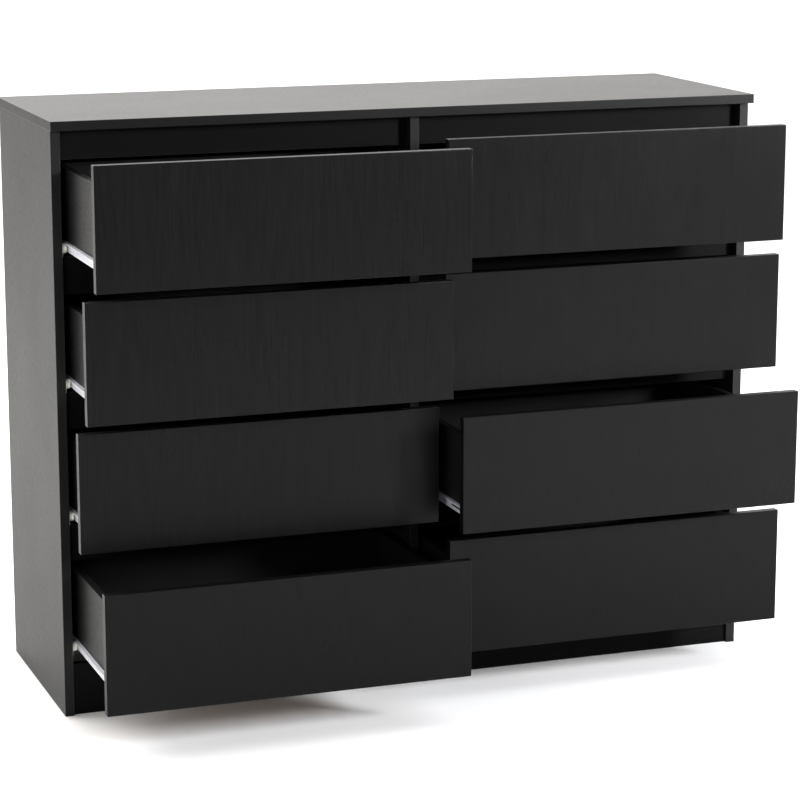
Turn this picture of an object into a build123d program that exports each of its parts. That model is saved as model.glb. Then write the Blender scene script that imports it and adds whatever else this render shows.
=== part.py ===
"""A low, wide chest of eight handle-less drawers, four rows in two columns.

Millimetres. +X runs to the right as one faces the fronts, +Y to the back, +Z up. The origin is
on the floor at the middle of the carcass. Every drawer stands partly open by its own amount.
"""
from build123d import *
import os

# ---- driving dimensions -------------------------------------------------------------------
width = 1200.0              # over the top panel
height = 960.0              # floor to the top surface
board = 15.0                # all foil-faced board of the carcass and the fronts
side_depth = 374.0          # front edge to back edge of the upright panels
top_overhang_side = 2.5
top_overhang_front = 16.0   # the closed fronts stay flush with the edge of the top
back_board = 3.0            # hardboard

top_rail_height = 48.0
cross_rail_height = 60.0
rail_recess = 17.0          # rail face behind the front edges of the uprights
plinth_height = 84.0
plinth_recess = 6.0

rows = 4
front_height = 190.0
row_pitch = 215.5
first_front_top = 922.5
front_side_margin = 3.0     # outer edge of a front inside the outer face of the carcass
front_centre_margin = 4.0   # inner edge of a front from the middle of the carcass
front_stop_gap = 1.0        # between a closed front and the edges of the uprights
edge_radius = 1.0           # wrapped edges of the fronts and the top

# how far each drawer stands open, top row first
opening = {"left": (250.0, 174.0, 110.0, 257.0), "right": (128.0, 116.0, 197.0, 139.0)}

# ---- drawer box, measured up from the lower edge of its front -------------------------------
box_board = 12.0
box_length = 350.0
box_top = 150.0
base_board = 3.0
base_lift = 9.0             # underside of the base above the lower edge of the box sides
groove_depth = 5.0
groove_play = 0.2
base_play = 0.5             # gap at the bottom of each groove
joint_play = 0.2            # between the box back and each side

# ---- roller runners, heights again from the lower edge of the front -------------------------
runner_gap = 12.5           # between an upright and the drawer side
steel = 1.2
drawer_rail_low = 20.0      # underside of the flange that carries the box
drawer_rail_high = 35.5     # upper side of the flange that rolls on the front roller
drawer_rail_length = 345.0
drawer_rail_start = 1.0     # behind the front
rail_hole_up = 27.0
rail_hole_radius = 2.1
rail_hole_places = (93.0, 197.0)        # unused round holes, back from the front
rail_slot = (30.0, 77.0)                # ends of the adjusting slot, back from the front
rail_slot_width = 3.6
rail_screw_places = (16.0, 300.0)       # countersunk holes for the screws into the box side
carry_flange = 10.0         # width of the flange under the box side
rolling_flange_reach = 5.3  # the rolling flange stops this far from the upright
channel_length = 350.0
channel_start = 3.0         # behind the front edge of the upright
channel_flange = 9.2
channel_low = 14.1
channel_high = 33.1
cross_rail_gap = 2.1        # from the top edge of a cross rail to the channels above it
flange_start = 25.0         # the channel's flanges begin behind the front roller

roller_radius = 8.0
roller_width = 7.0
roller_bore = 2.6
pin_radius = 2.5
pin_head_radius = 4.0
pin_shoulder_radius = 3.5
pin_head = 1.0
pin_shoulder = 0.9
side_play = 0.2             # between a roller's face and its shoulder or head
rolling_play = 0.3          # between a roller and the steel it rolls on
front_axle_back = 14.0      # front axle behind the channel's front end
rear_axle_forward = 13.0    # rear axle ahead of the drawer rail's rear end

# ---- fasteners ------------------------------------------------------------------------------
screw_head_radius = 3.5
screw_neck_radius = 2.3
screw_radius = 1.7
screw_depth = 7.0
screw_end_play = 0.5
screw_places = (60.0, 170.0, 290.0)     # along the channel from its front end
pilot_radius = 1.75

dowel_radius = 4.0
dowel_in_rail = 18.0
dowel_in_panel = 7.0
cam_radius = 7.3
cam_hole_radius = 7.5
cam_depth = 12.0
cam_back_play = 0.5
cam_from_end = 24.0
bolt_radius = 2.5
bolt_hole_radius = 3.5
bolt_in_panel = 7.0
bolt_end_play = 1.0
rail_dowel_up = 12.0        # dowel above, bolt below the middle of a rail's end
rail_bolt_down = 12.0
top_dowel_places = (-150.0, 150.0)
top_cam_places = (-110.0, 110.0)
dowel_in_top = 9.0
bolt_in_top = 10.0

# ---- derived places ---------------------------------------------------------------------------
front_plane = -side_depth / 2
back_plane = side_depth / 2
under_top = height - board
carcass_half = width / 2 - top_overhang_side
inner_half = carcass_half - board       # inner face of a side panel
divider_half = board / 2
rail_front = front_plane + rail_recess
top_front = front_plane - top_overhang_front
channel_front = front_plane + channel_start

columns = {"left": (-inner_half, -divider_half), "right": (divider_half, inner_half)}
front_low = [first_front_top - front_height - row_pitch * row for row in range(rows)]
cross_rail_low = [low + channel_low - cross_rail_gap - cross_rail_height for low in front_low[:-1]]

# every board that spans a column: (underside, height, front face)
stretchers = [(under_top - top_rail_height, top_rail_height, rail_front)]
stretchers += [(low, cross_rail_height, rail_front) for low in cross_rail_low]
stretchers += [(0.0, plinth_height, front_plane + plinth_recess)]


# ---- shared operations, each used inside a BuildPart block ------------------------------------
def add_box(x, y, z, mode=Mode.ADD):
    """A square block between two values along each axis."""
    with BuildSketch(Plane.XY.offset(min(z))) as outline:
        with Locations(((x[0] + x[1]) / 2, (y[0] + y[1]) / 2)):
            Rectangle(abs(x[1] - x[0]), abs(y[1] - y[0]))
    extrude(outline.sketch, amount=abs(z[1] - z[0]), mode=mode)


def add_rod(plane, places, radius, length, mode=Mode.ADD, far_radius=None):
    """Round rods or holes from a plane along its normal, tapered to far_radius if it is given."""
    for place in places:
        with BuildSketch(plane) as outline:
            with Locations(place):
                Circle(radius)
        if far_radius is None:
            extrude(outline.sketch, amount=length, mode=mode)
        else:
            with BuildSketch(plane.offset(length)) as far_outline:
                with Locations(place):
                    Circle(far_radius)
            loft([outline.sketch, far_outline.sketch], mode=mode)


def add_slot(plane, ends, across, width, depth, mode):
    """A round-ended slot between two places along the plane's own X, at one place across it."""
    with BuildSketch(plane) as outline:
        with Locations(((ends[0] + ends[1]) / 2, across)):
            SlotOverall(abs(ends[1] - ends[0]), width)
    extrude(outline.sketch, amount=depth, mode=mode)


def facing(x, hand):
    """The plane at x whose normal points along +X for hand 1 and along -X for hand -1.

    Its own axes are +Y and +Z for either hand.
    """
    return Plane(origin=(x, 0, 0), x_dir=(0, hand, 0), z_dir=(hand, 0, 0))


def on_plane(hand, y, z):
    """The place of a world y and z on a facing plane."""
    return (y * hand, z)


def finish(piece, label):
    piece.part.label = label
    export_step(piece.part, f"parts/{label}.step")


def hands(side):
    """The two uprights beside a column: (face of the upright, direction into the column)."""
    low, high = columns[side]
    return ((low, 1), (high, -1))


os.makedirs("parts", exist_ok=True)

# ---- top panel: sits on the uprights, held by dowels and cam bolts ----------------------------
upright_centres = (-inner_half - board / 2, 0.0, inner_half + board / 2)

with BuildPart() as top_panel:
    add_box((-width / 2, width / 2), (top_front, back_plane), (under_top, height))
    fillet(top_panel.faces().sort_by(Axis.Y)[0].edges(), radius=edge_radius)
    for centre in upright_centres:
        dowel_places = [(centre, y) for y in top_dowel_places]
        bolt_places = [(centre, y) for y in top_cam_places]
        add_rod(Plane.XY.offset(under_top), dowel_places, dowel_radius, dowel_in_top, Mode.SUBTRACT)
        add_rod(Plane.XY.offset(under_top), bolt_places, bolt_radius, bolt_in_top, Mode.SUBTRACT)
finish(top_panel, "top_panel")


# ---- uprights: two side panels and the divider -------------------------------------------------
def upright(centre, inner_faces):
    """An upright drilled for dowels, cams and runner screws.

    inner_faces lists (x of the face, direction into the column).
    """
    cam_face, cam_hand = inner_faces[0]
    with BuildPart() as panel:
        add_box((centre - board / 2, centre + board / 2), (front_plane, back_plane), (0, under_top))
        top_edge = Plane.XY.offset(under_top)
        dowel_places = [(centre, y) for y in top_dowel_places]
        bolt_places = [(centre, y) for y in top_cam_places]
        add_rod(top_edge, dowel_places, dowel_radius, -dowel_in_rail, Mode.SUBTRACT)
        add_rod(top_edge, bolt_places, bolt_hole_radius, -cam_from_end, Mode.SUBTRACT)
        cam_places = [on_plane(-cam_hand, y, under_top - cam_from_end) for y in top_cam_places]
        add_rod(facing(cam_face, -cam_hand), cam_places, cam_hole_radius, cam_depth, Mode.SUBTRACT)
        for face, hand in inner_faces:
            into_board = facing(face, -hand)
            for low, rise, front in stretchers:
                middle = low + rise / 2
                end_y = front + board / 2
                dowel = on_plane(-hand, end_y, middle + rail_dowel_up)
                bolt = on_plane(-hand, end_y, middle - rail_bolt_down)
                add_rod(into_board, [dowel], dowel_radius, dowel_in_panel, Mode.SUBTRACT)
                add_rod(into_board, [bolt], bolt_radius, bolt_in_panel, Mode.SUBTRACT)
            for low in front_low:
                screw_z = low + (channel_low + channel_high) / 2
                pilots = [on_plane(-hand, channel_front + y, screw_z) for y in screw_places]
                add_rod(into_board, pilots, pilot_radius, screw_depth, Mode.SUBTRACT)
    return panel


finish(upright(upright_centres[0], [(-inner_half, 1)]), "left_side_panel")
finish(upright(upright_centres[1], [(-divider_half, -1), (divider_half, 1)]), "centre_divider")
finish(upright(upright_centres[2], [(inner_half, -1)]), "right_side_panel")


# ---- rails and plinth boards between the uprights ----------------------------------------------
def stretcher(side, low, rise, front):
    """A board across one column, added to the block in hand, drilled for its end fittings."""
    middle = low + rise / 2
    add_box(columns[side], (front, front + board), (low, low + rise))
    for face, hand in hands(side):
        end = facing(face, hand)
        dowel = on_plane(hand, front + board / 2, middle + rail_dowel_up)
        bolt = on_plane(hand, front + board / 2, middle - rail_bolt_down)
        add_rod(end, [dowel], dowel_radius, dowel_in_rail, Mode.SUBTRACT)
        add_rod(end, [bolt], bolt_hole_radius, cam_from_end, Mode.SUBTRACT)
        # the cam's pocket is bored into the back of the board
        back_face = Plane(origin=(0, front + board, 0), x_dir=(1, 0, 0), z_dir=(0, -1, 0))
        pocket = (face + hand * cam_from_end, middle - rail_bolt_down)
        add_rod(back_face, [pocket], cam_hole_radius, cam_depth, Mode.SUBTRACT)


with BuildPart() as top_rails:
    for side in columns:
        stretcher(side, *stretchers[0])
finish(top_rails, "top_rails")

with BuildPart() as cross_rails:
    for side in columns:
        for rail in stretchers[1:-1]:
            stretcher(side, *rail)
finish(cross_rails, "cross_rails")

with BuildPart() as plinth_boards:
    for side in columns:
        stretcher(side, *stretchers[-1])
finish(plinth_boards, "plinth_boards")

# ---- back: two hardboard sheets that meet behind the divider ------------------------------------
back_floor_gap = 10.0
back_top_gap = 5.0
back_side_gap = 2.0
back_joint_gap = 1.5        # each sheet's edge from the middle of the carcass

with BuildPart() as back_panels:
    for side_sign in (-1, 1):
        add_box(
            (side_sign * back_joint_gap, side_sign * (carcass_half - back_side_gap)),
            (back_plane, back_plane + back_board),
            (back_floor_gap, height - back_top_gap),
        )
finish(back_panels, "back_panels")

# ---- beech dowels --------------------------------------------------------------------------------
dowel_end_play = 0.5

with BuildPart() as wooden_dowels:
    for centre in upright_centres:
        foot = Plane.XY.offset(under_top - dowel_in_rail + dowel_end_play)
        length = dowel_in_rail + dowel_in_top - 2 * dowel_end_play
        add_rod(foot, [(centre, y) for y in top_dowel_places], dowel_radius, length)
    for side in columns:
        for face, hand in hands(side):
            start = facing(face - hand * (dowel_in_panel - dowel_end_play), hand)
            length = dowel_in_panel + dowel_in_rail - 2 * dowel_end_play
            for low, rise, front in stretchers:
                place = on_plane(hand, front + board / 2, low + rise / 2 + rail_dowel_up)
                add_rod(start, [place], dowel_radius, length)
finish(wooden_dowels, "wooden_dowels")


# ---- cam fittings: a zinc cam with a screwdriver cross, and its steel bolt ------------------------
cross_width = 2.0
cross_length = 9.0
cross_depth = 2.0
bolt_stem_radius = 2.8


def cam(mouth, place, bolt_direction):
    """A cam in a pocket: mouth is the plane of the pocket's mouth, facing into the board."""
    add_rod(mouth.offset(cam_back_play), [place], cam_radius, cam_depth - 2 * cam_back_play)
    for turn in (0, 90):
        with BuildSketch(mouth.offset(cam_back_play)) as slot:
            with Locations(place):
                Rectangle(cross_length, cross_width, rotation=turn)
        extrude(slot.sketch, amount=cross_depth, mode=Mode.SUBTRACT)
    centre = mouth.from_local_coords((place[0], place[1], board / 2))
    bore = Plane(origin=centre, z_dir=bolt_direction)
    add_rod(bore, [(0, 0)], bolt_hole_radius, 2 * cam_radius, Mode.SUBTRACT)


def cam_bolt(face_point, into_rail, thread_length):
    """A bolt screwed into one board at face_point and reaching into the cam of the other."""
    seat = Plane(origin=face_point, z_dir=into_rail)
    add_rod(seat.offset(-thread_length), [(0, 0)], bolt_radius, thread_length)
    add_rod(seat, [(0, 0)], bolt_stem_radius, cam_from_end - bolt_end_play)


with BuildPart() as cam_fittings:
    for side in columns:
        for face, hand in hands(side):
            for low, rise, front in stretchers:
                bolt_z = low + rise / 2 - rail_bolt_down
                mouth = Plane(origin=(0, front + board, 0), x_dir=(1, 0, 0), z_dir=(0, -1, 0))
                cam(mouth, (face + hand * cam_from_end, bolt_z), (-hand, 0, 0))
                cam_bolt((face, front + board / 2, bolt_z), (hand, 0, 0), bolt_in_panel)
    drilled_faces = ((-inner_half, 1), (-divider_half, -1), (inner_half, -1))
    for centre, (face, hand) in zip(upright_centres, drilled_faces):
        for y in top_cam_places:
            cam(facing(face, -hand), on_plane(-hand, y, under_top - cam_from_end), (0, 0, 1))
            cam_bolt((centre, y, under_top), (0, 0, -1), bolt_in_top)
finish(cam_fittings, "cam_fittings")


# ---- cabinet runners: steel channels screwed to the uprights, with a fixed pin for the roller ------
def roller_pin(face, hand, y, z):
    """A riveted pin standing off a steel face: shoulder, running length and head."""
    base = facing(face, hand)
    place = [on_plane(hand, y, z)]
    running = roller_width + 2 * side_play
    add_rod(base, place, pin_shoulder_radius, pin_shoulder)
    add_rod(base, place, pin_radius, pin_shoulder + running)
    add_rod(base.offset(pin_shoulder + running), place, pin_head_radius, pin_head)


def roller(face, hand, y, z):
    """A nylon roller on such a pin."""
    base = facing(face + hand * (pin_shoulder + side_play), hand)
    place = on_plane(hand, y, z)
    rim = 0.6
    add_rod(base, [place], roller_radius - rim, rim, far_radius=roller_radius)
    add_rod(base.offset(rim), [place], roller_radius, roller_width - 2 * rim)
    far = base.offset(roller_width - rim)
    add_rod(far, [place], roller_radius, rim, far_radius=roller_radius - rim)
    add_rod(base, [place], roller_bore, roller_width, Mode.SUBTRACT)


front_axle_y = channel_front + front_axle_back
front_axle_up = drawer_rail_high - steel - rolling_play - roller_radius
rear_axle_up = channel_low + steel + rolling_play + roller_radius

with BuildPart() as cabinet_runners:
    for side in columns:
        for face, hand in hands(side):
            for low in front_low:
                rear = channel_front + channel_length
                web = (face, face + hand * steel)
                flange = (face, face + hand * channel_flange)
                flange_run = (channel_front + flange_start, rear)
                add_box(web, (channel_front, rear), (low + channel_low, low + channel_high))
                add_box(flange, flange_run, (low + channel_low, low + channel_low + steel))
                add_box(flange, flange_run, (low + channel_high - steel, low + channel_high))
                roller_pin(face + hand * steel, hand, front_axle_y, low + front_axle_up)
                screw_z = low + (channel_low + channel_high) / 2
                screws = [on_plane(-hand, channel_front + y, screw_z) for y in screw_places]
                add_rod(
                    facing(face + hand * steel, -hand),
                    screws,
                    screw_head_radius,
                    steel,
                    Mode.SUBTRACT,
                    far_radius=screw_neck_radius,
                )
finish(cabinet_runners, "cabinet_runners")

with BuildPart() as runner_screws:
    head_play = 0.05
    for side in columns:
        for face, hand in hands(side):
            for low in front_low:
                screw_z = low + (channel_low + channel_high) / 2
                places = [on_plane(-hand, channel_front + y, screw_z) for y in screw_places]
                add_rod(
                    facing(face + hand * steel, -hand),
                    places,
                    screw_head_radius - head_play,
                    steel,
                    far_radius=screw_neck_radius - head_play,
                )
                add_rod(facing(face, -hand), places, screw_radius, screw_depth - screw_end_play)
finish(runner_screws, "runner_screws")

# ---- the eight drawers ------------------------------------------------------------------------------
for side in columns:
    low_x, high_x = columns[side]
    box_x = (low_x + runner_gap, high_x - runner_gap)
    inner_x = (box_x[0] + box_board, box_x[1] - box_board)
    outward = -1 if side == "left" else 1
    front_x = sorted((outward * front_centre_margin, outward * (carcass_half - front_side_margin)))

    for row in range(rows):
        name = f"drawer_{side}_{row + 1}"
        low = front_low[row]
        front_back = front_plane - front_stop_gap - opening[side][row]
        box_back = front_back + box_length
        box_low = low + drawer_rail_low + steel
        box_high = low + box_top
        base_low = box_low + base_lift
        groove = (base_low, base_low + base_board + groove_play)
        groove_x = (inner_x[0] - groove_depth, inner_x[1] + groove_depth)

        # front: foil-wrapped board with a groove for the base
        with BuildPart() as drawer_front:
            add_box(front_x, (front_back - board, front_back), (low, low + front_height))
            fillet(drawer_front.faces().sort_by(Axis.Y)[0].edges(), radius=edge_radius)
            add_box(groove_x, (front_back - groove_depth, front_back), groove, Mode.SUBTRACT)
        finish(drawer_front, f"{name}_front")

        # box: two grooved sides and a shorter back that stands on the base
        with BuildPart() as drawer_box:
            for outer, inner in zip(box_x, inner_x):
                add_box((outer, inner), (front_back, box_back), (box_low, box_high))
            add_box(groove_x, (front_back, box_back), groove, Mode.SUBTRACT)
            back_x = (inner_x[0] + joint_play, inner_x[1] - joint_play)
            add_box(back_x, (box_back - box_board, box_back), (base_low + base_board, box_high))
        finish(drawer_box, f"{name}_box")

        # base: hardboard, slid in from behind
        with BuildPart() as drawer_base:
            add_box(
                (groove_x[0] + base_play, groove_x[1] - base_play),
                (front_back - groove_depth + base_play, box_back),
                (base_low, base_low + base_board),
            )
        finish(drawer_base, f"{name}_base")

        # rails: steel Z sections along the lower edges of the sides, with a pin for the rear roller
        rail_y = (front_back + drawer_rail_start, front_back + drawer_rail_start + drawer_rail_length)
        rear_axle_y = rail_y[1] - rear_axle_forward
        with BuildPart() as drawer_rails:
            for face, hand in hands(side):
                web_outer = face + hand * (runner_gap - steel)
                web_inner = face + hand * runner_gap
                rolling_edge = face + hand * rolling_flange_reach
                rail_low = low + drawer_rail_low
                rail_high = low + drawer_rail_high
                add_box((web_outer, web_inner), rail_y, (rail_low, rail_high))
                add_box((web_outer, web_inner + hand * carry_flange), rail_y, (rail_low, rail_low + steel))
                add_box((rolling_edge, web_inner), rail_y, (rail_high - steel, rail_high))
                roller_pin(web_outer, -hand, rear_axle_y, low + rear_axle_up)
                punched = facing(web_outer, hand)
                hole_z = low + rail_hole_up
                holes = [on_plane(hand, front_back + y, hole_z) for y in rail_hole_places]
                add_rod(punched, holes, rail_hole_radius, steel, Mode.SUBTRACT)
                slot_ends = [hand * (front_back + y) for y in rail_slot]
                add_slot(punched, slot_ends, hole_z, rail_slot_width, steel, Mode.SUBTRACT)
                screws = [on_plane(hand, front_back + y, hole_z) for y in rail_screw_places]
                add_rod(
                    punched,
                    screws,
                    screw_head_radius,
                    steel,
                    Mode.SUBTRACT,
                    far_radius=screw_neck_radius,
                )
        finish(drawer_rails, f"{name}_rails")

        # rear rollers, carried by the drawer's rails
        with BuildPart() as rear_rollers:
            for face, hand in hands(side):
                web_outer = face + hand * (runner_gap - steel)
                roller(web_outer, -hand, rear_axle_y, low + rear_axle_up)
        finish(rear_rollers, f"{name}_rear_rollers")

        # front rollers, carried by the cabinet's channels
        with BuildPart() as front_rollers:
            for face, hand in hands(side):
                roller(face + hand * steel, hand, front_axle_y, low + front_axle_up)
        finish(front_rollers, f"{name}_front_rollers")
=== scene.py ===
import math

import bpy
from mathutils import Matrix, Vector


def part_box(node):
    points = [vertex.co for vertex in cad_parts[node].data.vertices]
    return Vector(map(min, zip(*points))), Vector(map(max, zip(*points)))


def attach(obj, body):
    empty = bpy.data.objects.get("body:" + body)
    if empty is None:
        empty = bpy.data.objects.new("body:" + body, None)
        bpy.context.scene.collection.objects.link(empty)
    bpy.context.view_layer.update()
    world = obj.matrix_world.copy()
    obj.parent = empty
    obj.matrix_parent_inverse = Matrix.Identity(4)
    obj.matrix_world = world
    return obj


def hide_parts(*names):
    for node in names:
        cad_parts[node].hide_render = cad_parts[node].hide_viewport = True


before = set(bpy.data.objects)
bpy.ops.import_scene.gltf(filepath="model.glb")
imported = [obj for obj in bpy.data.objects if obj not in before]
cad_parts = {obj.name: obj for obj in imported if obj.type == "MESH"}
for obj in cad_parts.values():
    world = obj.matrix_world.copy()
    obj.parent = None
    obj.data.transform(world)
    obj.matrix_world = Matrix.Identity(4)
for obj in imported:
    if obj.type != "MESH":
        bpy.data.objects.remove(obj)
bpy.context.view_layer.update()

# A low, wide chest of eight drawers in black foil-faced board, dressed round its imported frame. Lengths
# are metres in the frame's own axes: +X to the right as one faces the drawers, +Y to the back, +Z up.
# The sections follow the chest as it is put together, from the uprights to the rollers.
mm = 0.001

# ---- the studio ----------------------------------------------------------------------------------
# A pale seamless floor under a soft sky that is brightest behind and to the left of the chest and
# dim in front of it. Three softboxes hang overhead, one of them far behind to whiten the floor there,
# and a small cool one stands on each side in front of the chest.
paper = bpy.data.materials.new("studio_paper")
paper.use_nodes = True
paper_shader = paper.node_tree.nodes["Principled BSDF"]
paper_shader.inputs["Base Color"].default_value = (0.93, 0.93, 0.93, 1)
paper_shader.inputs["Roughness"].default_value = 0.9
paper_shader.inputs["Specular IOR Level"].default_value = 0.1

floor_half = 30.0
floor_corners = [(x * floor_half, y * floor_half, 0) for x, y in ((-1, -1), (1, -1), (1, 1), (-1, 1))]
floor_mesh = bpy.data.meshes.new("studio_floor")
floor_mesh.from_pydata(floor_corners, [], [(0, 1, 2, 3)])
floor_mesh.materials.append(paper)
studio_floor = bpy.data.objects.new("studio_floor", floor_mesh)
bpy.context.scene.collection.objects.link(studio_floor)

sky = bpy.data.worlds.new("studio_sky")
bpy.context.scene.world = sky
sky.use_nodes = True
sky_nodes = sky.node_tree.nodes
sky_links = sky.node_tree.links
brightest = sky_nodes.new("ShaderNodeVectorMath")
brightest.operation = "DOT_PRODUCT"
brightest.inputs[1].default_value = Vector((-0.55, 0.83, 0.10)).normalized()
sky_links.new(sky_nodes.new("ShaderNodeTexCoord").outputs["Generated"], brightest.inputs[0])
falloff = sky_nodes.new("ShaderNodeMapRange")
falloff.interpolation_type = "SMOOTHSTEP"
falloff.inputs["From Min"].default_value = -0.6
falloff.inputs["From Max"].default_value = 0.7
falloff.inputs["To Min"].default_value = 0.04
falloff.inputs["To Max"].default_value = 1.46
sky_links.new(brightest.outputs["Value"], falloff.inputs["Value"])
lit_sky = sky_nodes["Background"]
lit_sky.inputs["Color"].default_value = (1.0, 0.98, 0.955, 1)
sky_links.new(falloff.outputs["Result"], lit_sky.inputs["Strength"])
seen_sky = sky_nodes.new("ShaderNodeBackground")
seen_sky.inputs["Color"].default_value = (1, 1, 1, 1)
ray_kind = sky_nodes.new("ShaderNodeLightPath")
lit_or_seen = sky_nodes.new("ShaderNodeMixShader")
sky_links.new(ray_kind.outputs["Is Camera Ray"], lit_or_seen.inputs[0])
sky_links.new(lit_sky.outputs[0], lit_or_seen.inputs[1])
sky_links.new(seen_sky.outputs[0], lit_or_seen.inputs[2])
sky_links.new(lit_or_seen.outputs[0], sky_nodes["World Output"].inputs["Surface"])


def softbox(name, place, target, size, power, colour):
    """A soft rectangular light at a place, turned to a target."""
    light = bpy.data.lights.new(name, "AREA")
    light.shape = "RECTANGLE"
    light.size, light.size_y = size
    light.energy = power
    light.color = colour
    lamp = bpy.data.objects.new(name, light)
    lamp.location = place
    lamp.rotation_euler = (Vector(target) - Vector(place)).to_track_quat("-Z", "Y").to_euler()
    bpy.context.scene.collection.objects.link(lamp)


warm = (1.0, 0.975, 0.94)
faintly_warm = (1.0, 0.99, 0.985)
neutral = (1.0, 1.0, 1.0)
cool = (0.95, 0.97, 1.0)
softbox("rear_overhead_softbox", (-1.3, 2.6, 4.0), (-1.3, 2.4, 0), (6.0, 4.5), 310, warm)
softbox("far_overhead_softbox", (2.5, 14.0, 8.0), (2.5, 14.0, 0), (14.0, 12.0), 1200, neutral)
softbox("front_overhead_softbox", (1.3, -1.5, 2.8), (1.3, -1.5, 0), (2.4, 1.4), 32, faintly_warm)
softbox("left_softbox", (-2.6, -3.4, 1.2), (0, -0.3, 0.5), (0.8, 1.2), 45, cool)
softbox("right_softbox", (2.5, -3.0, 1.7), (0.5, 0, 0.9), (0.6, 0.9), 270, cool)

tilt_down = 12.25                       # degrees below level
turn_right = 19.95                      # degrees to the right of straight back
eye_data = bpy.data.cameras.new("eye")
eye_data.sensor_width = 36.0
eye_data.lens = 124.0
eye = bpy.data.objects.new("eye", eye_data)
eye.location = (-1.533, -4.341, 1.4385)
eye.rotation_euler = (math.radians(90 - tilt_down), 0, math.radians(-turn_right))
bpy.context.scene.collection.objects.link(eye)
bpy.context.scene.camera = eye
bpy.context.scene.view_settings.view_transform = "Standard"

# ---- uprights ------------------------------------------------------------------------------------
# Two side panels and the divider: 15 mm particle board pressed with black melamine foil whose
# grain runs up the board. A plain strip of edging is ironed round the narrow faces.
axis_number = {"X": 0, "Y": 1, "Z": 2}
mix_first, mix_second, mix_result = 6, 7, 2     # a Mix node's colour sockets


def new_finish(name):
    """An empty finish: the material, its node tree and its shader."""
    finish = bpy.data.materials.new(name)
    finish.use_nodes = True
    return finish, finish.node_tree, finish.node_tree.nodes["Principled BSDF"]


def put(tree, kind, wires=(), values=(), **settings):
    """One node with its settings, its fixed input values and the wires that come into it."""
    node = tree.nodes.new("ShaderNode" + kind)
    for key, value in settings.items():
        setattr(node, key, value)
    for socket, value in dict(values).items():
        node.inputs[socket].default_value = value
    for socket, source in dict(wires).items():
        tree.links.new(source, node.inputs[socket])
    return node


def noise(tree, along, axis, across, detail=2.0, low=0.3, high=0.7):
    """Soft noise drawn out along one axis, spread so that low and high become 0 and 1."""
    scale = [1 / across] * 3
    scale[axis_number[axis]] = 1 / along
    place = put(tree, "TexCoord").outputs["Object"]
    drawn = put(tree, "Mapping", {"Vector": place}, {"Scale": scale}).outputs["Vector"]
    soft = put(tree, "TexNoise", {"Vector": drawn}, {"Scale": 1.0, "Detail": detail})
    limits = {"From Min": low, "From Max": high}
    return put(tree, "MapRange", {"Value": soft.outputs["Fac"]}, limits).outputs["Result"]


def blend_colours(tree, share, first, second):
    """The first colour where the share is 0 and the second where it is 1. Either may be a wire."""
    mix = put(tree, "Mix", {"Factor": share}, data_type="RGBA")
    for socket, colour in ((mix_first, first), (mix_second, second)):
        if isinstance(colour, tuple):
            mix.inputs[socket].default_value = (*colour, 1)
        else:
            tree.links.new(colour, mix.inputs[socket])
    return mix.outputs[mix_result]


def sum_of(tree, base, *weighted):
    """A plain number plus wires times their weights."""
    total = None
    for wire, weight in weighted:
        step = put(tree, "Math", {0: wire}, {1: weight, 2: base}, operation="MULTIPLY_ADD")
        if total is not None:
            tree.links.new(total, step.inputs[2])
        total = step.outputs[0]
    return total


def emboss(tree, shader, height, strength, depth):
    """Presses a height pattern into the surface."""
    bump = put(tree, "Bump", {"Height": height}, {"Strength": strength, "Distance": depth})
    tree.links.new(bump.outputs["Normal"], shader.inputs["Normal"])


def black_foil(name, grain, flat, dark, light, dullness, reflect):
    """Pressed black foil. The grain runs along one axis, and flat is the axis across the board."""
    pore_cover = 0.45
    pore_darkness = 0.45
    pore_black = tuple(pore_darkness * c for c in dark)
    edging_cover = 0.8
    edging_black = (0.003, 0.003, 0.003)
    on_edging_below = 0.5               # of how squarely the surface faces the flat axis
    finish, tree, shader = new_finish(name)
    streaks = noise(tree, 55 * mm, grain, 2.0 * mm)
    pores = noise(tree, 11 * mm, grain, 0.8 * mm, low=0.54, high=0.66)
    tooth = noise(tree, 0.9 * mm, grain, 0.45 * mm, detail=1.0)
    clouds = noise(tree, 260 * mm, grain, 170 * mm)
    facing = put(tree, "SeparateXYZ", {0: put(tree, "TexCoord").outputs["Normal"]})
    across = facing.outputs[axis_number[flat]]
    on_face = put(tree, "Math", {0: across}, operation="ABSOLUTE").outputs[0]
    edging = put(tree, "Math", {0: on_face}, {1: on_edging_below}, operation="LESS_THAN").outputs[0]
    tone = blend_colours(tree, streaks, dark, light)
    pored = blend_colours(tree, sum_of(tree, 0, (pores, pore_cover)), tone, pore_black)
    edged = blend_colours(tree, sum_of(tree, 0, (edging, edging_cover)), pored, edging_black)
    tree.links.new(edged, shader.inputs["Base Color"])
    rough = sum_of(tree, dullness, (clouds, 0.03), (pores, 0.10), (edging, 0.06))
    tree.links.new(rough, shader.inputs["Roughness"])
    relief = sum_of(tree, 0, (pores, -0.6), (tooth, 0.35), (streaks, 0.4))
    emboss(tree, shader, relief, strength=0.3, depth=0.12 * mm)
    shader.inputs["Specular IOR Level"].default_value = reflect
    return finish


# handling rubs the rounded edges of the foiled boards a little smoother and paler
arris, arris_tree, arris_shader = new_finish("rubbed_black_arris")
rubbed = noise(arris_tree, 35 * mm, "X", 35 * mm, detail=3.0, low=0.35)
arris_tone = blend_colours(arris_tree, rubbed, (0.011, 0.011, 0.011), (0.021, 0.021, 0.021))
arris_tree.links.new(arris_tone, arris_shader.inputs["Base Color"])
arris_tree.links.new(sum_of(arris_tree, 0.40, (rubbed, -0.10)), arris_shader.inputs["Roughness"])
arris_shader.inputs["Specular IOR Level"].default_value = 0.5

same_corner = 0.001 * mm                # corners nearer than this are one
sharpest_left = math.radians(40)        # only edges that turn by more than this are eased


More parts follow.
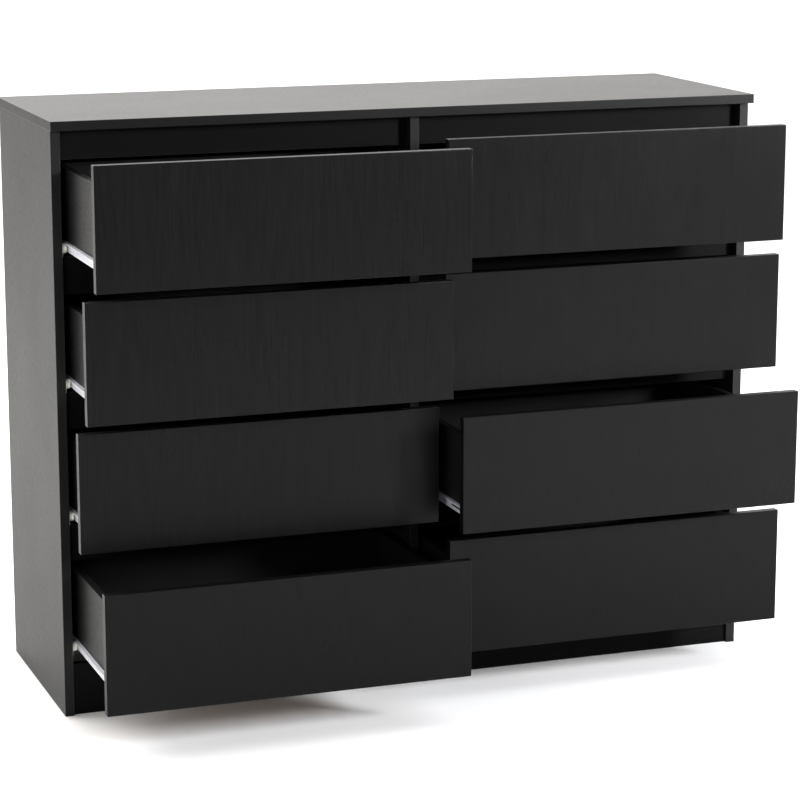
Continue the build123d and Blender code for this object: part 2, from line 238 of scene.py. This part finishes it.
def dress(node, finish, arris_finish=None, easing=0.45 * mm):
    """A frame piece keeps its shape, takes a finish and gets its sharp edges eased."""
    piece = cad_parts[node]
    piece.material_slots[0].material = finish
    weld = piece.modifiers.new("closed_corners", "WELD")
    weld.merge_threshold = same_corner
    ease = piece.modifiers.new("eased_edges", "BEVEL")
    ease.width = easing
    ease.segments = 2
    ease.limit_method = "ANGLE"
    ease.angle_limit = sharpest_left
    ease.use_clamp_overlap = False
    ease.harden_normals = True
    if arris_finish is not None:
        piece.data.materials.append(arris_finish)
        ease.material = 1


upright_foil = black_foil(
    "black_foil_upright", grain="Z", flat="X",
    dark=(0.0075, 0.0074, 0.0070), light=(0.0120, 0.0117, 0.0110), dullness=0.42, reflect=0.18,
)
for upright in ("left_side_panel", "right_side_panel", "centre_divider"):
    dress(upright, upright_foil, arris)

# ---- top panel -----------------------------------------------------------------------------------
# One board of the same make, laid over the uprights and overhanging them a little, with its grain
# lengthways. Dowels place it, and cams in the uprights pull it down.
top_foil = black_foil(
    "black_foil_top", grain="X", flat="Z",
    dark=(0.0095, 0.0087, 0.0080), light=(0.0145, 0.0134, 0.0124), dullness=0.34, reflect=0.12,
)
dress("top_panel", top_foil, arris)

# ---- rails and plinth boards ---------------------------------------------------------------------
# Short boards pulled tight between the uprights by cams: in each column one under the top, three
# between the drawers and one on the floor. Their foil is a flatter black.
rail_foil = black_foil(
    "black_foil_rail", grain="X", flat="Y",
    dark=(0.0024, 0.0024, 0.0024), light=(0.0036, 0.0036, 0.0036), dullness=0.45, reflect=0.04,
)
for boards in ("top_rails", "cross_rails", "plinth_boards"):
    dress(boards, rail_foil, arris)

# ---- back sheets ---------------------------------------------------------------------------------
# Two 3 mm hardboard sheets that meet behind the divider. The inner face is printed black, and the
# outer face is bare brown fibre, pressed smooth.
hardboard, board_tree, board_shader = new_finish("hardboard")
fibre = noise(board_tree, 2.6 * mm, "X", 1.0 * mm, detail=4.0, low=0.35)
mottle = noise(board_tree, 70 * mm, "X", 45 * mm, detail=3.0)
flecks = noise(board_tree, 5 * mm, "Z", 2 * mm, low=0.62, high=0.70)
fibre_cover = sum_of(board_tree, 0, (fibre, 0.4))
fleck_cover = sum_of(board_tree, 0, (flecks, 0.5))
brown = blend_colours(board_tree, mottle, (0.128, 0.073, 0.038), (0.152, 0.090, 0.049))
brown = blend_colours(board_tree, fibre_cover, brown, (0.078, 0.043, 0.022))
brown = blend_colours(board_tree, fleck_cover, brown, (0.036, 0.021, 0.012))
printed = blend_colours(board_tree, mottle, (0.007, 0.0068, 0.0065), (0.012, 0.0115, 0.011))
board_facing = put(board_tree, "SeparateXYZ", {0: put(board_tree, "TexCoord").outputs["Normal"]})
bare_turn = 0.3                         # how squarely a bare face looks back or down
backwards = put(
    board_tree, "Math", {0: board_facing.outputs["Y"]}, {1: bare_turn}, operation="GREATER_THAN"
).outputs[0]
downwards = put(
    board_tree, "Math", {0: board_facing.outputs["Z"]}, {1: -bare_turn}, operation="LESS_THAN"
).outputs[0]
bare = put(board_tree, "Math", {0: backwards, 1: downwards}, operation="MAXIMUM").outputs[0]
board_tree.links.new(blend_colours(board_tree, bare, printed, brown), board_shader.inputs["Base Color"])
board_rough = sum_of(board_tree, 0.46, (bare, 0.22), (fibre, 0.08))
board_tree.links.new(board_rough, board_shader.inputs["Roughness"])
board_shader.inputs["Specular IOR Level"].default_value = 0.2
emboss(board_tree, board_shader, fibre, strength=0.3, depth=0.12 * mm)
dress("back_panels", hardboard, easing=0.3 * mm)

# ---- back nails ----------------------------------------------------------------------------------
# Small zinc-plated nails with domed heads fix the back sheets all round: up both sides, up the
# divider and along the top edge.
zinc, zinc_tree, zinc_shader = new_finish("zinc_plate")
zinc_dull = noise(zinc_tree, 3 * mm, "Z", 3 * mm, detail=3.0)
zinc_tone = blend_colours(zinc_tree, zinc_dull, (0.66, 0.67, 0.70), (0.50, 0.50, 0.51))
zinc_tree.links.new(zinc_tone, zinc_shader.inputs["Base Color"])
zinc_tree.links.new(sum_of(zinc_tree, 0.24, (zinc_dull, 0.18)), zinc_shader.inputs["Roughness"])
zinc_shader.inputs["Metallic"].default_value = 1.0


def turned(outline, steps, open_bore=False, ribs=0, rib_steps=0, rib_level=0.0):
    """Points and faces of a piece turned about its own Z.

    The outline lists (radius, level, ribbed) from the axis outwards and back. With an open bore
    the last ring closes on the first. Ribbed rings rise to the rib level where the ribs stand, each
    rib being a few steps wide.
    """
    points, rings = [], []
    for radius, level, ribbed in outline:
        if radius == 0:
            rings.append([len(points)] * steps)
            points.append((0, 0, level))
            continue
        rings.append([len(points) + step for step in range(steps)])
        for step in range(steps):
            angle = math.tau * step / steps
            on_rib = ribbed and step % (steps // ribs) < rib_steps
            height = math.copysign(rib_level, level) if on_rib else level
            points.append((radius * math.cos(angle), radius * math.sin(angle), height))
    pairs = list(zip(rings, rings[1:]))
    if open_bore:
        pairs.append((rings[-1], rings[0]))
    faces = []
    for inner, outer in pairs:
        for step in range(steps):
            after = (step + 1) % steps
            corners = [inner[step], outer[step], outer[after], inner[after]]
            faces.append([c for k, c in enumerate(corners) if c not in corners[:k]])
    return points, faces


def pointing(place, direction):
    """The placing that stands a piece's own Z along a direction."""
    turn = Vector(direction).to_track_quat("Z", "Y").to_matrix().to_4x4()
    return Matrix.Translation(place) @ turn


def set_out(name, shape, placings, finish, body):
    """One piece made of a shape repeated at each placing, riding on a body."""
    points, faces = shape
    all_points, all_faces = [], []
    for placing in placings:
        start = len(all_points)
        all_points += [placing @ Vector(p) for p in points]
        all_faces += [[start + corner for corner in face] for face in faces]
    mesh = bpy.data.meshes.new(name)
    mesh.from_pydata(all_points, [], all_faces)
    mesh.materials.append(finish)
    mesh.shade_smooth()
    mesh.set_sharp_from_angle(angle=math.radians(35))
    piece = bpy.data.objects.new(name, mesh)
    bpy.context.scene.collection.objects.link(piece)
    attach(piece, body)
    return piece


nail_outline = ((0, 0.75), (0.9, 0.68), (1.6, 0.48), (2.05, 0.20), (2.1, -0.10), (0, -0.10))
nail_head = turned([(r * mm, level * mm, 0) for r, level in nail_outline], steps=20)
back_low, back_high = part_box("back_panels")
edge_in = 6 * mm
divider_nail = 4.2 * mm                 # to each side of the divider's middle
nail_gap = 96 * mm
lowest_nail = 0.4                       # of a gap above the sheets' lower edge
first_along = 0.5                       # of a gap in from the sheets' outer edge
nail_columns = (back_low.x + edge_in, -divider_nail, divider_nail, back_high.x - edge_in)
rises = round((back_high.z - back_low.z) / nail_gap)
runs = round((back_high.x - back_low.x) / nail_gap)
nail_places = []
for x in nail_columns:
    for rise in range(rises):
        z = back_low.z + (back_high.z - back_low.z) * (rise + lowest_nail) / rises
        nail_places.append(pointing((x, back_high.y, z), (0, 1, 0)))
for run in range(runs):
    x = back_low.x + (back_high.x - back_low.x) * (run + first_along) / runs
    nail_places.append(pointing((x, back_high.y, back_high.z - edge_in), (0, 1, 0)))
set_out("back_nails", nail_head, nail_places, zinc, "carcass")

# ---- dowels and cam fittings ---------------------------------------------------------------------
# Fluted beech dowels line the joints up, and die-cast zinc cams turned with a screwdriver pull
# each joint tight on its steel bolt.
beech, beech_tree, beech_shader = new_finish("turned_beech")
beech_grain = noise(beech_tree, 14 * mm, "X", 1.2 * mm, detail=3.0)
beech_tone = blend_colours(beech_tree, beech_grain, (0.60, 0.42, 0.26), (0.44, 0.28, 0.16))
beech_tree.links.new(beech_tone, beech_shader.inputs["Base Color"])
beech_tree.links.new(sum_of(beech_tree, 0.5, (beech_grain, 0.15)), beech_shader.inputs["Roughness"])
emboss(beech_tree, beech_shader, beech_grain, strength=0.3, depth=0.2 * mm)
dress("wooden_dowels", beech, easing=0.4 * mm)

cast, cast_tree, cast_shader = new_finish("cast_zinc")
cast_skin = noise(cast_tree, 0.8 * mm, "Z", 0.8 * mm, detail=3.0)
cast_tone = blend_colours(cast_tree, cast_skin, (0.56, 0.56, 0.57), (0.42, 0.42, 0.43))
cast_tree.links.new(cast_tone, cast_shader.inputs["Base Color"])
cast_tree.links.new(sum_of(cast_tree, 0.36, (cast_skin, 0.16)), cast_shader.inputs["Roughness"])
cast_shader.inputs["Metallic"].default_value = 1.0
emboss(cast_tree, cast_shader, cast_skin, strength=0.25, depth=0.1 * mm)
dress("cam_fittings", cast, easing=0.15 * mm)

# ---- cabinet runners -----------------------------------------------------------------------------
# Pressed steel channels in white epoxy powder coat, one at each side of each opening. Each has a
# riveted pin at its front for a roller and is held by three countersunk cross-head screws.
epoxy, epoxy_tree, epoxy_shader = new_finish("white_epoxy_steel")
peel = noise(epoxy_tree, 1.6 * mm, "X", 1.6 * mm, 2.0)
grime = noise(epoxy_tree, 90 * mm, "Y", 5 * mm, detail=3.0, low=0.5, high=0.8)
epoxy_tone = blend_colours(epoxy_tree, grime, (0.62, 0.635, 0.68), (0.54, 0.545, 0.56))
epoxy_tree.links.new(epoxy_tone, epoxy_shader.inputs["Base Color"])
epoxy_rough = sum_of(epoxy_tree, 0.27, (peel, 0.07), (grime, 0.12))
epoxy_tree.links.new(epoxy_rough, epoxy_shader.inputs["Roughness"])
emboss(epoxy_tree, epoxy_shader, peel, strength=0.12, depth=0.1 * mm)
dress("cabinet_runners", epoxy, easing=0.35 * mm)


def cross_headed(reach, depth, rings):
    """A round head with a tapered cross recess. The rings (radius, level) go down from its face."""
    half_arm = 0.26 * reach
    taper = 0.72                        # of the recess's floor against its mouth
    arms = 4
    arm_corners = 3
    cross = []
    for quarter in range(arms):
        turn = Matrix.Rotation(math.tau / arms * quarter, 3, "Z")
        for x, y in ((reach, half_arm), (half_arm, half_arm), (half_arm, reach)):
            cross.append(turn @ Vector((x, y, 0)))
    angles = []
    for corner, following in zip(cross, cross[1:] + cross[:1]):
        angle = math.atan2(corner.y, corner.x) % math.tau
        gap = (math.atan2(following.y, following.x) - angle) % math.tau
        angles += [angle, angle + gap / 2]
    points = [tuple(c) for c in cross]
    points += [(c.x * taper, c.y * taper, -depth) for c in cross]
    for radius, level in rings:
        points += [(radius * math.cos(a), radius * math.sin(a), level) for a in angles]
    count, around = len(cross), len(angles)
    starts = [2 * count + around * k for k in range(len(rings))]
    faces = []
    for k in range(count):
        after = (k + 1) % count
        rim = [starts[0] + (2 * k + step) % around for step in range(3)]
        faces += [[k, *rim, after], [k, after, count + after, count + k]]
        if k % arm_corners == 0:
            faces.append([count + (k + step) % count for step in (-2, -1, 0, 1)])
    faces.append([count + k for k in range(1, count, arm_corners)])
    for upper, lower in zip(starts, starts[1:]):
        for k in range(around):
            after = (k + 1) % around
            faces.append([upper + k, lower + k, lower + after, upper + after])
    faces.append([starts[-1] + k for k in reversed(range(around))])
    return points, faces


screw_rings = ((3.30, 0), (3.38, -0.06), (2.2, -1.15), (1.7, -1.7), (1.7, -11.0), (0.4, -13.0))
flat_screw = cross_headed(2.0 * mm, 0.9 * mm, [(r * mm, level * mm) for r, level in screw_rings])
steel = 1.2 * mm
rows = range(1, 5)                      # from the top down
channel_middle_up = 23.6 * mm           # above the lower edge of its drawer's front
channel_screws = (60 * mm, 170 * mm, 290 * mm)      # behind the channel's front end
channel_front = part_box("cabinet_runners")[0].y
divider_low, divider_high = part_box("centre_divider")
opening_walls = {
    "left": (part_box("left_side_panel")[1].x, divider_low.x),
    "right": (divider_high.x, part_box("right_side_panel")[0].x),
}
channel_screw_places = []
for side, walls in opening_walls.items():
    for row in rows:
        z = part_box(f"drawer_{side}_{row}_front")[0].z + channel_middle_up
        for wall, inwards in zip(walls, (1, -1)):
            for back in channel_screws:
                place = (wall + inwards * steel, channel_front + back, z)
                channel_screw_places.append(pointing(place, (inwards, 0, 0)))
cross_head_screws = set_out(
    "runner_cross_head_screws", flat_screw, channel_screw_places, zinc, "carcass"
)
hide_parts("runner_screws")

# ---- drawer fronts -------------------------------------------------------------------------------
# Handle-less fronts of 15 mm board, wrapped in the same foil with the grain upright. They overlap
# the carcass, and one pulls them by their edges.
front_foil = black_foil(
    "black_foil_front", grain="Z", flat="Y",
    dark=(0.0020, 0.0020, 0.0021), light=(0.0044, 0.0044, 0.0046), dullness=0.27, reflect=0.086,
)
drawers = [f"drawer_{side}_{row}" for side in opening_walls for row in rows]
for drawer in drawers:
    dress(f"{drawer}_front", front_foil, arris)

# ---- drawer boxes and bases ----------------------------------------------------------------------
# Two sides and a back of 12 mm board in a plainer foil with its grain lengthways, round a 3 mm
# hardboard base that slides into grooves from behind.
box_foil = black_foil(
    "drawer_box_board", grain="Y", flat="X",
    dark=(0.006, 0.006, 0.006), light=(0.011, 0.011, 0.011), dullness=0.42, reflect=0.12,
)
for drawer in drawers:
    dress(f"{drawer}_box", box_foil, arris, easing=0.4 * mm)
    dress(f"{drawer}_base", hardboard, easing=0.3 * mm)

# ---- drawer fixings ------------------------------------------------------------------------------
# Cams in the sides draw them up to the front, pan-head screws hold the sides to the back, and three
# nails driven up through the base hold it under the back.
cam_rings = ((5.8, 0), (6.0, -0.2), (6.0, -0.9))
cam_face = cross_headed(3.6 * mm, 0.45 * mm, [(r * mm, level * mm) for r, level in cam_rings])
pan_rings = ((2.3, 0), (2.9, -0.25), (3.3, -0.8), (3.3, -1.5))
pan_screw = cross_headed(1.9 * mm, 0.8 * mm, [(r * mm, level * mm) for r, level in pan_rings])
cam_back = 24 * mm                      # behind the front
cam_heights = (55 * mm, 115 * mm)       # these and the next are above the front's lower edge
corner_heights = (50 * mm, 85 * mm, 120 * mm)
corner_in = 6 * mm
cam_proud = 0.3 * mm
pan_proud = 1.3 * mm
base_nail_shares = (0.2, 0.5, 0.8)      # of the base's width
for drawer in drawers:
    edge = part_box(f"{drawer}_front")[0].z
    box_low, box_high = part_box(f"{drawer}_box")
    base_low, base_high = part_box(f"{drawer}_base")
    cams, screws, nails = [], [], []
    for x, outwards in ((box_low.x, -1), (box_high.x, 1)):
        for up in cam_heights:
            place = (x + outwards * cam_proud, box_low.y + cam_back, edge + up)
            cams.append(pointing(place, (outwards, 0, 0)))
        for up in corner_heights:
            place = (x + outwards * pan_proud, box_high.y - corner_in, edge + up)
            screws.append(pointing(place, (outwards, 0, 0)))
    for share in base_nail_shares:
        x = base_low.x + (base_high.x - base_low.x) * share
        nails.append(pointing((x, base_high.y - corner_in, base_low.z), (0, 0, -1)))
    set_out(f"{drawer}_side_cams", cam_face, cams, cast, drawer)
    set_out(f"{drawer}_corner_screws", pan_screw, screws, zinc, drawer)
    set_out(f"{drawer}_base_nails", nail_head, nails, zinc, drawer)

# ---- drawer rails --------------------------------------------------------------------------------
# Pressed steel Z sections under the sides of each box, in the same white epoxy. Each is punched
# with a slot and spare holes, and two countersunk screws fix it to the side.
rail_hole_up = 27 * mm                  # above the front's lower edge
rail_screws = (16 * mm, 300 * mm)       # behind the front
for drawer in drawers:
    dress(f"{drawer}_rails", epoxy, easing=0.35 * mm)
    front_low, front_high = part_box(f"{drawer}_front")
    box_low, box_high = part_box(f"{drawer}_box")
    places = []
    for x, outwards in ((box_low.x, -1), (box_high.x, 1)):
        for back in rail_screws:
            place = (x + outwards * steel, front_high.y + back, front_low.z + rail_hole_up)
            places.append(pointing(place, (outwards, 0, 0)))
    set_out(f"{drawer}_rail_screws", flat_screw, places, zinc, drawer)

# ---- rollers -------------------------------------------------------------------------------------
# Moulded cream nylon wheels, a pair on the cabinet's front pins and a pair on the rails' rear pins
# of each drawer. Both faces are cored out between the rim and the hub and stiffened by ribs.
nylon, nylon_tree, nylon_shader = new_finish("cream_nylon")
nylon_cloud = noise(nylon_tree, 6 * mm, "X", 6 * mm, 2.0)
nylon_skin = noise(nylon_tree, 0.5 * mm, "X", 0.5 * mm, 2.0)
nylon_tone = blend_colours(nylon_tree, nylon_cloud, (0.80, 0.78, 0.66), (0.74, 0.71, 0.58))
nylon_tree.links.new(nylon_tone, nylon_shader.inputs["Base Color"])
nylon_tree.links.new(sum_of(nylon_tree, 0.34, (nylon_skin, 0.10)), nylon_shader.inputs["Roughness"])
emboss(nylon_tree, nylon_shader, nylon_skin, strength=0.1, depth=0.05 * mm)

# millimetres from here to the outline's end: (radius, level, ribbed) from the bore to the tread
half_width = 3.5
core = half_width - 1.3
rib = half_width - 0.3
half_outline = (
    (2.6, half_width, 0), (4.4, half_width, 0), (4.6, core, 1), (6.3, core, 1),
    (6.5, half_width, 0), (7.5, half_width, 0), (7.85, half_width - 0.3, 0), (8.0, half_width - 0.8, 0),
)
other_half = [(r, -level, ribbed) for r, level, ribbed in reversed(half_outline)]
roller_outline = [(r * mm, level * mm, ribbed) for r, level, ribbed in (*half_outline, *other_half)]
roller = turned(roller_outline, steps=90, open_bore=True, ribs=6, rib_steps=3, rib_level=rib * mm)
for drawer in drawers:
    for end in ("front", "rear"):
        node = f"{drawer}_{end}_rollers"
        low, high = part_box(node)
        middle = (low + high) / 2
        places = []
        for x, inwards in ((low.x + half_width * mm, 1), (high.x - half_width * mm, -1)):
            places.append(pointing((x, middle.y, middle.z), (inwards, 0, 0)))
        body = drawer.replace("drawer", f"{end}_rollers")
        pair = set_out(f"{drawer}_{end}_nylon_pair", roller, places, nylon, body)
        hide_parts(node)
